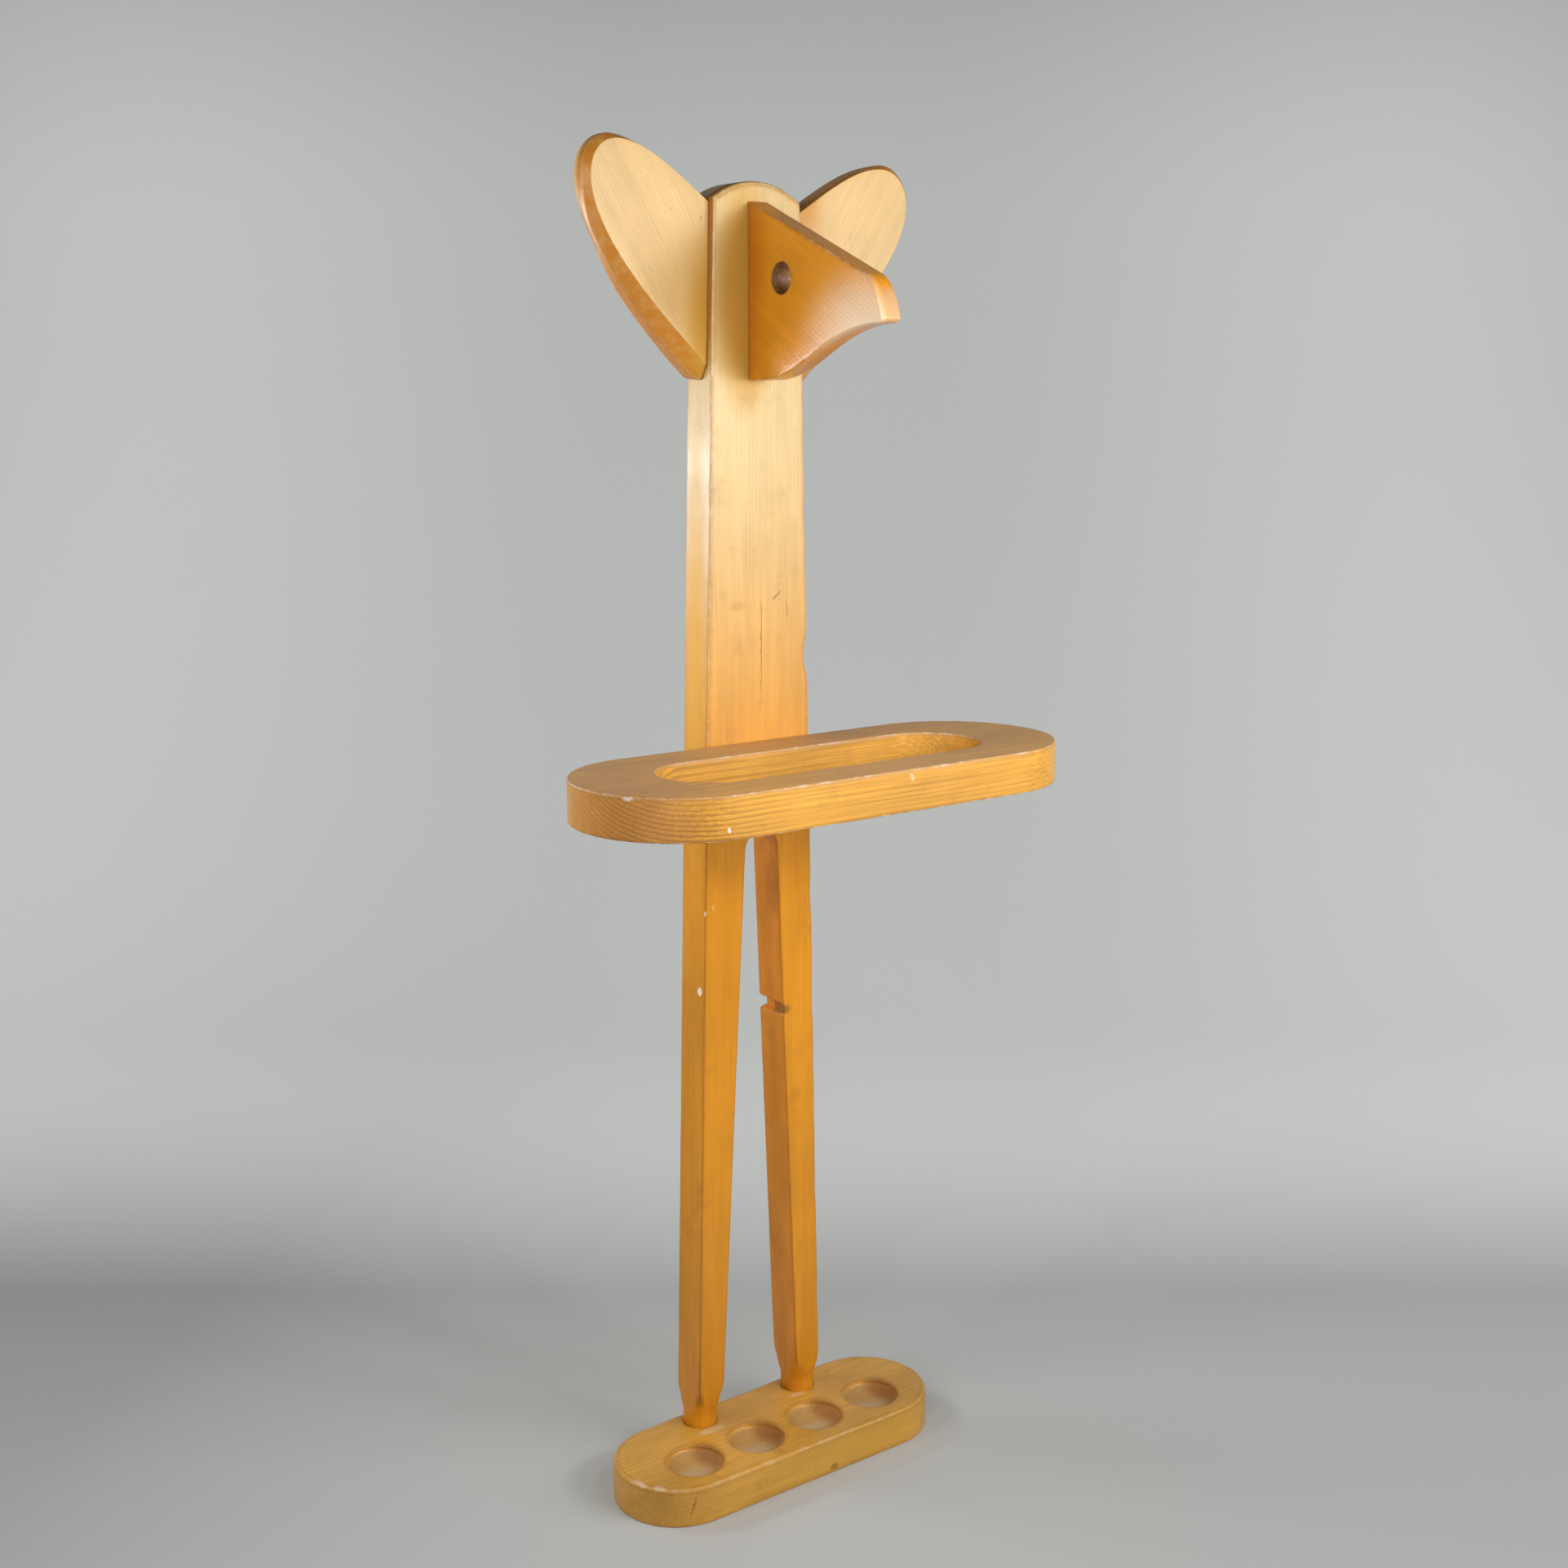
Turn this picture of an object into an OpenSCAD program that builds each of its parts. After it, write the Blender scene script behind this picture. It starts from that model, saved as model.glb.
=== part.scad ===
// Umbrella stand in the shape of a standing bird, built from solid pine boards.
// Millimetres, +Z up.  The bird looks along -Y.  The floor is z = 0, the mirror
// plane of the stand is x = 0 and the front face of the upright board is y = 0.

/* [Upright board] */
// Height of the top of the rounded head above the floor
stand_h = 783; // [740:1:860]
// Thickness of the upright board
board_t = 25; // [22:0.5:30]
// Width of the board where the head begins to round over
head_w = 61; // [56:0.5:70]
// Width of the board over both legs, where they meet the base
foot_w = 95.6; // [90:0.2:104]
// Radius of the rounded top of the head
head_r = 51; // [45:1:90]
// Height of the top of the gap between the legs
gap_top = 405; // [380:1:420]
// Width of the gap just under its round top
gap_top_w = 23.4; // [18:0.2:30]
// Width of the gap between the legs, where they meet the base
gap_foot_w = 59.4; // [56:0.2:62]
// Sideways offset of the round top of the gap, which was sawn by hand
gap_shift = 1.6; // [0:0.1:3]

/* [Base] */
// Length of the base plate
base_l = 227.5; // [216:0.5:260]
// Depth of the base plate, front to back
base_w = 80; // [76:0.5:90]
// Thickness of the base plate
base_t = 24.5; // [22:0.5:30]
// Bevel around the top edge of the base plate
base_bevel = 2.2; // [1:0.1:3]
// Bevel around the underside of the base plate
foot_bevel = 0.8; // [0.5:0.1:2]
// Diameter of the four cups for umbrella tips
cup_d = 35.6; // [30:0.2:38]
// Depth of a cup at its middle
cup_depth = 8.5; // [6:0.5:12]
// Height of the upright wall of a cup, above its bowl-shaped floor
cup_wall = 2.5; // [2:0.5:3]
// Distance between neighbouring cups
cup_pitch = 46.1; // [42:0.1:48]
// Distance from the front face of the board to the row of cups
cup_row = 26.4; // [22:0.2:30]

/* [Leg tenons] */
// Diameter of the round tenon at the bottom of each leg
tenon_d = 21.4; // [19:0.2:23]
// Depth of the socket in the base plate
socket_depth = 18; // [12:1:20]
// Height above the base over which the tenon shows as a full round
tenon_show = 9; // [4:1:14]
// Height of the cone between the square leg and its tenon
cone_h = 21; // [16:1:30]

/* [Umbrella ring] */
// Length of the ring
ring_l = 322; // [290:1:340]
// Depth of the ring, front to back
ring_w = 124.4; // [110:0.2:134]
// Thickness of the ring
ring_t = 24.5; // [20:0.5:30]
// Height of the top face of the ring above the floor
ring_top = 460.5; // [450:0.5:500]
// Length of the slot that the umbrellas stand in
slot_l = 220; // [190:1:230]
// Depth of the slot, front to back
slot_w = 63.4; // [54:0.2:66]
// Distance from the front face of the board to the middle of the slot
slot_row = 63; // [60:0.5:66]
// Bevel around the edges of the ring
ring_bevel = 1; // [0.5:0.1:2]

/* [Wings] */
// Thickness of a wing
wing_t = 17.5; // [14:0.5:19]
// Height of the lower corner of the left wing above the floor
wing_z = 672; // [660:1:700]
// How far a wing reaches out from the side of the board
wing_reach = 83.5; // [70:0.5:95]
// How high a wing stands above its lower corner
wing_rise = 131; // [120:1:140]
// How far a wing's front face lies behind the front face of the board
wing_recess = 5; // [3:0.5:6]
// Forward sweep of each wing, in degrees
wing_sweep = 3.5; // [0:0.5:6]
// How much lower the right wing was fixed than the left one
right_wing_drop = 5; // [0:0.5:8]
// Bevel around the front face of each wing
wing_bevel = 3; // [2:0.5:4]

/* [Beak] */
// Thickness of the beak
beak_t = 14; // [12:0.5:20]
// How far the tip of the beak stands out from the board
beak_l = 119; // [100:1:130]
// Height of the beak where it meets the board
beak_h = 99.5; // [90:0.5:104]
// Height of the underside of the beak above the floor
beak_z = 672; // [665:1:680]
// Diameter of the hole that forms the eyes
eye_d = 17.5; // [12:0.5:20]

/* [Joinery] */
// Diameter of the wing dowels
wing_dowel_d = 8; // [6:0.5:10]
// Diameter of the beak dowels
beak_dowel_d = 6; // [5:0.5:8]
// Diameter of the shank of the ring screws
screw_d = 4.5; // [4:0.5:5]
// Diameter of the countersunk head of the ring screws
screw_head_d = 9; // [8:0.5:10]

/* [Hidden] */
$fn = 72;

// Glue gap left around dowels and tenons and between glued faces
glue_gap = 0.1;
// Margin by which cutting shapes run past the faces that they cut
over = 1;

pine_light = [0.93, 0.74, 0.42];
pine_amber = [0.85, 0.58, 0.22];
pine_brown = [0.74, 0.52, 0.28];
beech = [0.86, 0.72, 0.52];
steel = [0.62, 0.60, 0.56];

// Space left below a tenon at the bottom of its socket
socket_space = 0.5;
board_bottom = base_t - socket_depth + socket_space;
shoulder_z = stand_h - head_r + sqrt(pow(head_r, 2) - pow(head_w / 2, 2));
// Half the width of the board at height z
function half_width(z) = head_w / 2 + (foot_w - head_w) / 2 * (shoulder_z - z) / (shoulder_z - base_t);
leg_x = (foot_w + gap_foot_w) / 4;
gap_arc_z = gap_top - gap_top_w / 2;
tenon_top = base_t + tenon_show;
cone_top = tenon_top + cone_h;
// Radius at the top of the leg cone, which just reaches the corners of the leg
leg_half = (foot_w - gap_foot_w) / 4 + 1;
cone_margin = 0.5;
cone_r = norm([leg_half, board_t / 2]) + cone_margin;
// Height up to which cutting blocks follow the taper of the board, above all parts
block_top = max(stand_h, wing_z + wing_rise) + 20;

base_y = board_t - base_w / 2;
ring_y = -ring_w / 2 - glue_gap;

wing_dowel_z = [wing_z + 30, wing_z + 74];
wing_dowel_l = 34;
wing_dowel_y = wing_recess + wing_t / 2;
wing_pivot_x = half_width(wing_z + wing_rise / 2);
wing_back_bevel = 1.2;
// Thickness of the slices at a wing's front and back, between which it is hulled
wing_skin = 0.5;
// How far the uncut blank of a wing reaches into the board
wing_overlap = 2;
beak_dowel_z = [beak_z + 22, beak_z + 76];
beak_dowel_l = 30;
beak_dowel_in_board = 13;
// Middle of the eyes: distance out from the board, and height above the underside of the beak
eye_pos = [31.3, 55.8];

ring_screw_x = 22;
ring_screw_l = 48;
screw_head_h = 3.2;
screw_point = 6;
screw_sink = 0.3;
screw_slot_w = 1.2;
screw_slot_h = 1.2;
screw_turn = 35;

// Points of a cubic curve with end points a and d and handles b and c
function curve(a, b, c, d, steps) = [for (i = [0 : steps]) let (t = i / steps, s = 1 - t)
    s * s * s * a + 3 * s * s * t * b + 3 * s * t * t * c + t * t * t * d];

// Solid stadium: two round ends joined by straight sides, centred on its middle
module stadium(length, width, height) {
    end_x = (length - width) / 2;
    translate([-end_x, -width / 2, 0]) cube([2 * end_x, width, height]);
    for (side = [-1, 1])
        translate([side * end_x, 0, 0]) cylinder(d = width, h = height);
}

// Stadium plate with a bevel along its top edge and, if asked, its bottom edge
module plate(length, width, height, top_bevel, bottom_bevel) {
    end_x = (length - width) / 2;
    r = width / 2;
    section = [[0, 0], [r - bottom_bevel, 0], [r, bottom_bevel], [r, height - top_bevel],
               [r - top_bevel, height], [0, height]];
    mirrored = [for (p = section) [-p[0], p[1]]];
    for (side = [-1, 1])
        translate([side * end_x, 0, 0]) rotate_extrude() polygon(section);
    translate([-end_x, 0, 0]) rotate([90, 0, 90]) linear_extrude(2 * end_x) {
        polygon(section);
        polygon(mirrored);
    }
}

// Flared mouth cut along the top edge of the slot in the ring
module slot_mouth(bevel) {
    end_x = (slot_l - slot_w) / 2;
    r = slot_w / 2;
    flare = bevel + over;
    for (side = [-1, 1])
        translate([side * end_x, 0, -bevel]) cylinder(r1 = r, r2 = r + flare, h = flare);
    translate([-end_x, 0, 0]) rotate([90, 0, 90]) linear_extrude(2 * end_x)
        polygon([[-r, -bevel], [r, -bevel], [r + flare, over], [-r - flare, over]]);
}

// Block with the tapered outline of the upright board, wider by a margin
module board_block(y0, y1, margin) {
    low = half_width(0) + margin;
    high = half_width(block_top) + margin;
    translate([0, y1, 0]) rotate([90, 0, 0]) linear_extrude(y1 - y0)
        polygon([[-low, 0], [low, 0], [high, block_top], [-high, block_top]]);
}

// Everything that the outline of head and legs keeps of the board
module board_limits() {
    translate([-foot_w, -over, cone_top]) cube([2 * foot_w, board_t + 2 * over, shoulder_z - cone_top]);
    intersection() {
        translate([0, board_t + over, stand_h - head_r]) rotate([90, 0, 0])
            cylinder(r = head_r, h = board_t + 2 * over, $fn = 144);
        translate([-foot_w, -over, shoulder_z - over])
            cube([2 * foot_w, board_t + 2 * over, head_r]);
    }
    for (side = [-1, 1]) translate([side * leg_x, board_t / 2, 0]) {
        translate([0, 0, board_bottom]) cylinder(d = tenon_d, h = tenon_top - board_bottom);
        translate([0, 0, tenon_top]) cylinder(r1 = tenon_d / 2, r2 = cone_r, h = cone_h);
    }
}

// Tapered gap between the two legs, with its round top
module leg_gap() {
    foot_half = gap_foot_w / 2;
    top_half = gap_top_w / 2;
    slope = (foot_half - top_half) / (gap_arc_z - base_t);
    low_half = foot_half + slope * base_t;
    translate([0, board_t + over, 0]) rotate([90, 0, 0]) linear_extrude(board_t + 2 * over)
        polygon([[-low_half, 0], [low_half, 0], [top_half + gap_shift, gap_arc_z],
                 [-top_half + gap_shift, gap_arc_z]]);
    translate([gap_shift, board_t + over, gap_arc_z]) rotate([90, 0, 0])
        cylinder(d = gap_top_w, h = board_t + 2 * over);
}

module post_board() color(pine_light) difference() {
    intersection() {
        board_block(0, board_t, 0);
        board_limits();
    }
    leg_gap();
    wing_dowel_set(-1, 0, glue_gap);
    wing_dowel_set(1, right_wing_drop, glue_gap);
    beak_dowel_set(glue_gap);
    ring_screw_holes();
}

module base_plate() color(pine_amber) difference() {
    translate([0, base_y, 0]) plate(base_l, base_w, base_t, base_bevel, foot_bevel);
    for (i = [-1.5 : 1 : 1.5])
        translate([i * cup_pitch, -cup_row, base_t]) cup_cutter();
    for (side = [-1, 1])
        translate([side * leg_x, board_t / 2, base_t - socket_depth])
            cylinder(d = tenon_d + 2 * glue_gap, h = socket_depth + over);
}

// Dished cup: a short straight wall over a round, bowl-shaped floor
module cup_cutter() {
    r = cup_d / 2;
    bowl = cup_depth - cup_wall;
    sphere_r = (r * r + bowl * bowl) / (2 * bowl);
    translate([0, 0, -cup_wall]) cylinder(r = r, h = cup_wall + over);
    intersection() {
        translate([0, 0, -cup_depth]) cylinder(r = r, h = bowl + cup_wall / 2);
        translate([0, 0, sphere_r - cup_depth]) sphere(r = sphere_r, $fn = 144);
    }
}

module umbrella_ring() color(pine_brown) difference() {
    translate([0, ring_y, ring_top - ring_t]) plate(ring_l, ring_w, ring_t, ring_bevel, ring_bevel);
    translate([0, -slot_row, ring_top - ring_t - over]) stadium(slot_l, slot_w, ring_t + 2 * over);
    translate([0, -slot_row, ring_top]) slot_mouth(ring_bevel);
    ring_screw_holes();
}

// Outline of a wing: u runs out from the board, v runs up from the lower corner.
// An inset above zero draws the smaller outline of a bevelled face.
function wing_outline(inset) = let (
        reach = wing_reach - 0.6 * inset,
        rise = wing_rise - inset,
        root_top = [-wing_overlap, 0.76 * wing_rise - 0.5 * inset],
        crown = [0.78 * reach, rise],
        waist = [reach, 0.83 * wing_rise],
        heel = [0.07 * wing_reach, 0.02 * wing_rise] + inset * [-1, 2.4],
        root_foot = [-wing_overlap, 2.4 * inset])
    concat(
        curve(root_top, [0.3 * reach, 0.86 * wing_rise - 0.5 * inset], [0.6 * reach, rise], crown, 12),
        curve(crown, [0.9 * reach, rise], [reach, 0.93 * wing_rise], waist, 10),
        curve(waist, [reach, 0.61 * wing_rise],
              [0.515 * wing_reach, 0.245 * wing_rise] + inset * [-0.8, 1.8], heel, 16),
        curve(heel, heel + [-2, -1.6], root_foot + [3, 0.2], root_foot, 4));

// Upright slice of a wing between two distances behind its front face
module wing_slice(inset, front, back) {
    shape = [for (p = wing_outline(inset)) [half_width(wing_z + p[1]) + p[0], p[1]]];
    translate([0, back, wing_z]) rotate([90, 0, 0]) linear_extrude(back - front) polygon(shape);
}

// Right-hand wing, cut to the side of the board at the height where it is fixed
module wing_blank(drop) difference() {
    translate([wing_pivot_x, wing_recess, -drop]) rotate([0, 0, -wing_sweep])
        translate([-wing_pivot_x, 0, 0]) hull() {
            wing_slice(wing_bevel, 0, wing_skin);
            wing_slice(0, 1.5 * wing_bevel, wing_t - 2 * wing_back_bevel);
            wing_slice(wing_back_bevel, wing_t - wing_skin, wing_t);
        }
    board_block(-wing_reach, board_t + wing_reach, glue_gap);
}

module left_wing() color(pine_light) difference() {
    mirror([1, 0, 0]) wing_blank(0);
    wing_dowel_set(-1, 0, glue_gap);
}

module right_wing() color(pine_light) difference() {
    wing_blank(right_wing_drop);
    wing_dowel_set(1, right_wing_drop, glue_gap);
}

// Side view of the beak: p runs forward from the board, q runs up
function beak_outline() = let (nose = [0.87 * beak_l, 0.56 * beak_h], tip = [beak_l, 0.297 * beak_h])
    concat(
        [[0, 0], [0, beak_h]],
        curve(nose, nose + [8, -3.5], tip + [-1.5, 10], tip + [0, 1.5], 10),
        curve(tip, [0.57 * beak_l, 0.3 * beak_h], [0.437 * beak_l, 0], [10, 0], 16));

module beak() color(pine_amber) difference() {
    translate([beak_t / 2, -glue_gap, beak_z]) rotate([90, 0, -90]) linear_extrude(beak_t)
        polygon(beak_outline());
    translate([-beak_t, -eye_pos[0], beak_z + eye_pos[1]]) rotate([0, 90, 0])
        cylinder(d = eye_d, h = 2 * beak_t);
    beak_dowel_set(glue_gap);
}

// Dowels along X between the board and one wing; gap widens and lengthens them into holes
module wing_dowel_set(side, drop, gap) {
    for (z = wing_dowel_z)
        translate([side * (half_width(z - drop) - wing_dowel_l / 2 - gap), wing_dowel_y, z - drop])
            rotate([0, side * 90, 0]) cylinder(d = wing_dowel_d + 2 * gap, h = wing_dowel_l + 2 * gap);
}

// Dowels along Y between the board and the beak
module beak_dowel_set(gap) {
    for (z = beak_dowel_z)
        translate([0, beak_dowel_in_board + gap, z]) rotate([90, 0, 0])
            cylinder(d = beak_dowel_d + 2 * gap, h = beak_dowel_l + 2 * gap);
}

module left_wing_dowels() color(beech) wing_dowel_set(-1, 0, 0);
module right_wing_dowels() color(beech) wing_dowel_set(1, right_wing_drop, 0);
module beak_dowels() color(beech) beak_dowel_set(0);

// One countersunk screw from the back of the board forward, head at the origin
module ring_screw(gap) {
    cylinder(d1 = screw_head_d + 2 * gap, d2 = screw_d + 2 * gap, h = screw_head_h);
    cylinder(d = screw_d + 2 * gap, h = ring_screw_l - screw_point + gap);
    translate([0, 0, ring_screw_l - screw_point + gap])
        cylinder(d1 = screw_d + 2 * gap, d2 = 1, h = screw_point);
}

// Places its child at both ring screws, a little below the back face of the board
module at_ring_screws() {
    for (side = [-1, 1])
        translate([side * ring_screw_x, board_t - screw_sink, ring_top - ring_t / 2])
            rotate([90, side * screw_turn, 0]) children();
}

module ring_screw_holes() at_ring_screws() {
    ring_screw(glue_gap);
    translate([0, 0, -screw_sink - over]) cylinder(d = screw_head_d + 2 * glue_gap, h = screw_sink + over);
}

module ring_screws() color(steel) at_ring_screws() difference() {
    ring_screw(0);
    cube([screw_head_d + over, screw_slot_w, 2 * screw_slot_h], center = true);
}

post_board();
base_plate();
umbrella_ring();
left_wing();
right_wing();
beak();
beak_dowels();
left_wing_dowels();
right_wing_dowels();
ring_screws();
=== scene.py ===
"""Looks of a bird-shaped umbrella stand in varnished pine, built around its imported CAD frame.

Sizes are in millimetres in the part's own frame: +Z up, the bird looks along -Y, the floor is z = 0.
"""

import math

import bmesh
import bpy
import numpy as np
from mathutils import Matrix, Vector, noise
from mathutils.geometry import delaunay_2d_cdt


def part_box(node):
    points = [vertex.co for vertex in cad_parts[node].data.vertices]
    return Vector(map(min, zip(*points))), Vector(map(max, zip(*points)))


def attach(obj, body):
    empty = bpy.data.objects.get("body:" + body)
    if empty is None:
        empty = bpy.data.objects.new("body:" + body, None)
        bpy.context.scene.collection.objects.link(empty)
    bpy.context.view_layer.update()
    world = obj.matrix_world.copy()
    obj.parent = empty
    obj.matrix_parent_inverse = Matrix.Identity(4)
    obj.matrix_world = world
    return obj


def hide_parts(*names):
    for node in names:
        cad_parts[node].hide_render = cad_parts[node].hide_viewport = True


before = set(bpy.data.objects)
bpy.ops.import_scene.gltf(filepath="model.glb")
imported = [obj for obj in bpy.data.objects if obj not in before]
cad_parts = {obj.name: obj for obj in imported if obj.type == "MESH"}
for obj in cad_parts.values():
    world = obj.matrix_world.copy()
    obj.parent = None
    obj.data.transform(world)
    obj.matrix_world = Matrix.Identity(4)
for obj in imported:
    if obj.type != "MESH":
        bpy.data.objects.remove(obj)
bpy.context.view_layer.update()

MM = 0.001


def box_mm(node):
    """Lowest and highest corner of a CAD node, in millimetres."""
    low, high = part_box(node)
    return np.array(low) / MM, np.array(high) / MM


# ---------------------------------------------------------------- sizes

board_low, board_high = box_mm("post_board")
base_low, base_high = box_mm("base_plate")
ring_low, ring_high = box_mm("umbrella_ring")
beak_low, beak_high = box_mm("beak")
wing_low, _ = box_mm("left_wing")

STAND_H = board_high[2]
BOARD_T = board_high[1]
BASE_T = base_high[2]
HEAD_W = 61
HEAD_R = 51
FOOT_W = 95.6
GAP_TOP = 405
GAP_TOP_W = 23.4
GAP_FOOT_W = 59.4
GAP_SHIFT = 1.6
TENON_D = 21.4
TENON_SHOW = 9
CONE_H = 21
CONE_MARGIN = 0.5
CUP_D = 35.6
CUP_DEPTH = 8.5
CUP_WALL = 2.5
CUP_PITCH = 46.1
CUP_ROW = 26.4
SOCKET_DEPTH = 18
SLOT_L = 220
SLOT_W = 63.4
SLOT_ROW = 63
WING_RECESS = 5
WING_T = 17.5
WING_SWEEP = 3.5
EYE_D = 17.5
EYE_OUT = 31.3
EYE_UP = 55.8
GLUE_GAP = 0.1

SHOULDER_Z = STAND_H - HEAD_R + math.sqrt(HEAD_R**2 - (HEAD_W / 2) ** 2)
GAP_ARC_Z = GAP_TOP - GAP_TOP_W / 2
LEG_X = (FOOT_W + GAP_FOOT_W) / 4
TENON_TOP = BASE_T + TENON_SHOW
CONE_TOP = TENON_TOP + CONE_H
CONE_R = math.hypot((FOOT_W - GAP_FOOT_W) / 4 + 1, BOARD_T / 2) + CONE_MARGIN


def half_width(z):
    """Half the width of the upright board at height z."""
    return HEAD_W / 2 + (FOOT_W - HEAD_W) / 2 * (SHOULDER_Z - z) / (SHOULDER_Z - BASE_T)


def gap_edge(z, side):
    """Where the gap between the legs ends on one side, at height z."""
    share = (GAP_ARC_Z - z) / (GAP_ARC_Z - BASE_T)
    top = side * GAP_TOP_W / 2 + GAP_SHIFT
    foot = side * GAP_FOOT_W / 2
    return top + (foot - top) * share


# ---------------------------------------------------------------- outlines


def smooth(value, low, high):
    """0 below low, 1 above high, with an even turn between them."""
    t = np.clip((np.asarray(value, float) - low) / (high - low), 0, 1)
    return t * t * (3 - 2 * t)


def line(a, b, step):
    """Points from a towards b, without b."""
    a, b = np.array(a, float), np.array(b, float)
    count = max(1, round(np.linalg.norm(b - a) / step))
    t = np.linspace(0, 1, count, endpoint=False)[:, None]
    return a + (b - a) * t


def curve(a, b, c, d, count):
    """Cubic curve from a to d with handles b and c, without its last point."""
    a, b, c, d = (np.array(p, float) for p in (a, b, c, d))
    t = np.linspace(0, 1, count, endpoint=False)[:, None]
    s = 1 - t
    return s**3 * a + 3 * s**2 * t * b + 3 * s * t**2 * c + t**3 * d


def arc(centre, radius, start, stop, step):
    """Round stretch from angle start to stop in degrees, without its last point."""
    sweep = math.radians(stop - start)
    count = max(2, round(abs(sweep) * radius / step))
    angles = math.radians(start) + sweep * np.linspace(0, 1, count, endpoint=False)
    return np.array(centre) + radius * np.stack([np.cos(angles), np.sin(angles)], 1)


def stadium(length, width, centre, step):
    """Outline with two round ends, anticlockwise from its lower right end."""
    reach = (length - width) / 2
    x, y = centre
    right, left = (x + reach, y), (x - reach, y)
    return np.concatenate([
        arc(right, width / 2, -90, 90, step),
        line((x + reach, y + width / 2), (x - reach, y + width / 2), step),
        arc(left, width / 2, 90, 270, step),
        line((x - reach, y - width / 2), (x + reach, y - width / 2), step)])


def inward(points, closed=True):
    """Unit offsets to the left of travel, lengthened at corners so that insets stay even."""
    following = np.roll(points, -1, 0) - points
    preceding = points - np.roll(points, 1, 0)
    if not closed:
        following[-1] = preceding[-1]
        preceding[0] = following[0]
    normals = []
    for edges in (preceding, following):
        edges = edges / np.linalg.norm(edges, axis=1)[:, None]
        normals.append(np.stack([-edges[:, 1], edges[:, 0]], 1))
    middle = normals[0] + normals[1]
    middle /= np.linalg.norm(middle, axis=1)[:, None]
    cosine = np.clip((middle * normals[0]).sum(1), 0.5, 1)
    return middle / cosine[:, None]


def wobble(points, size, scale, seed):
    """Smooth random value for each point, between about -size and size."""
    return np.array([size * noise.noise(Vector((p[0] / scale, p[1] / scale, seed))) for p in points])


# ---------------------------------------------------------------- meshes


class Shape:
    """A mesh being built: points with a wear value, and faces."""

    def __init__(self):
        self.points = []
        self.wear = []
        self.faces = []

    def ring(self, points, wear):
        """Adds points and returns their numbers."""
        first = len(self.points)
        self.points.extend(np.asarray(points, float).tolist())
        self.wear.extend(np.broadcast_to(wear, len(points)).tolist())
        return np.arange(first, len(self.points))

    def bridge(self, ring_a, ring_b, closed=True):
        """Quads between two rings that have as many points."""
        count = len(ring_a)
        for i in range(count if closed else count - 1):
            j = (i + 1) % count
            self.faces.append((ring_a[i], ring_a[j], ring_b[j], ring_b[i]))

    def skin(self, rings, closed=True):
        """Quads between each ring and the next."""
        for ring_a, ring_b in zip(rings, rings[1:]):
            self.bridge(ring_a, ring_b, closed)

    def fan(self, ring, centre):
        """Triangles from a ring to a middle point."""
        middle = self.ring([centre], 0)[0]
        for i, number in enumerate(ring):
            self.faces.append((number, ring[(i + 1) % len(ring)], middle))

    def cap(self, loops, flat, lift, step):
        """Fills a flat face inside its first loop and outside the others with even triangles.

        flat gives a loop's points in the plane and lift turns plane points into 3-D ones."""
        outlines = [flat(np.array([self.points[i] for i in loop])) for loop in loops]
        border = np.concatenate(outlines)
        numbers = np.concatenate(loops)
        low, high = border.min(0), border.max(0)
        rows = []
        for row, v in enumerate(np.arange(low[1] + step / 2, high[1], step * 0.866)):
            us = np.arange(low[0] + step / 2 + (row % 2) * step / 2, high[0], step)
            rows.append(np.stack([us, np.full(len(us), v)], 1))
        inner = np.concatenate(rows)
        inner = inner[inside(inner, outlines)]
        gaps = np.sqrt(((inner[:, None] - border[None]) ** 2).sum(2)).min(1)
        inner = inner[gaps > 0.45 * step]
        added = self.ring(lift(inner), 0)
        numbers = np.concatenate([numbers, added])
        edges, first = [], 0
        for outline in outlines:
            count = len(outline)
            edges += [(first + i, first + (i + 1) % count) for i in range(count)]
            first += count
        places = np.concatenate([border, inner])
        found, _, triangles, origins, _, _ = delaunay_2d_cdt(
            [Vector(p) for p in places], edges, [], 0, 1e-6)
        found = np.array([tuple(p) for p in found])
        triangles = np.array(triangles)
        if len(found) != len(places):
            strays = [found[i].round(2).tolist() for i in range(len(found)) if not origins[i]]
            raise ValueError(f"outline crosses itself at {strays[:6]}")
        keep = inside(found[triangles].mean(1), outlines)
        for corners in triangles[keep]:
            self.faces.append(tuple(numbers[origins[c][0]] for c in corners))

    def build(self, name):
        """Blender object of the shape, with even normals and the wear kept for its material."""
        mesh = bpy.data.meshes.new(name)
        bm = bmesh.new()
        wear = bm.verts.layers.float.new("wear")
        for point, value in zip(self.points, self.wear):
            vertex = bm.verts.new(Vector(point) * MM)
            vertex[wear] = value
        bm.verts.ensure_lookup_table()
        for face in self.faces:
            bm.faces.new([bm.verts[i] for i in face])
        bmesh.ops.remove_doubles(bm, verts=bm.verts, dist=0.001 * MM)
        bmesh.ops.recalc_face_normals(bm, faces=bm.faces)
        for face in bm.faces:
            face.smooth = True
        bm.to_mesh(mesh)
        bm.free()
        piece = bpy.data.objects.new(name, mesh)
        bpy.context.scene.collection.objects.link(piece)
        even = piece.modifiers.new("even_normals", "WEIGHTED_NORMAL")
        even.mode = "FACE_AREA_WITH_ANGLE"
        even.weight = 80
        return piece


def inside(places, outlines):
    """True for each place inside an odd number of the outlines."""
    result = np.zeros(len(places), bool)
    for outline in outlines:
        a, b = outline, np.roll(outline, -1, 0)
        for i in range(len(a)):
            crosses = (a[i, 1] > places[:, 1]) != (b[i, 1] > places[:, 1])
            if not crosses.any():
                continue
            slope = (b[i, 0] - a[i, 0]) / (b[i, 1] - a[i, 1])
            result ^= crosses & (places[:, 0] < a[i, 0] + slope * (places[:, 1] - a[i, 1]))
    return result


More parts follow.
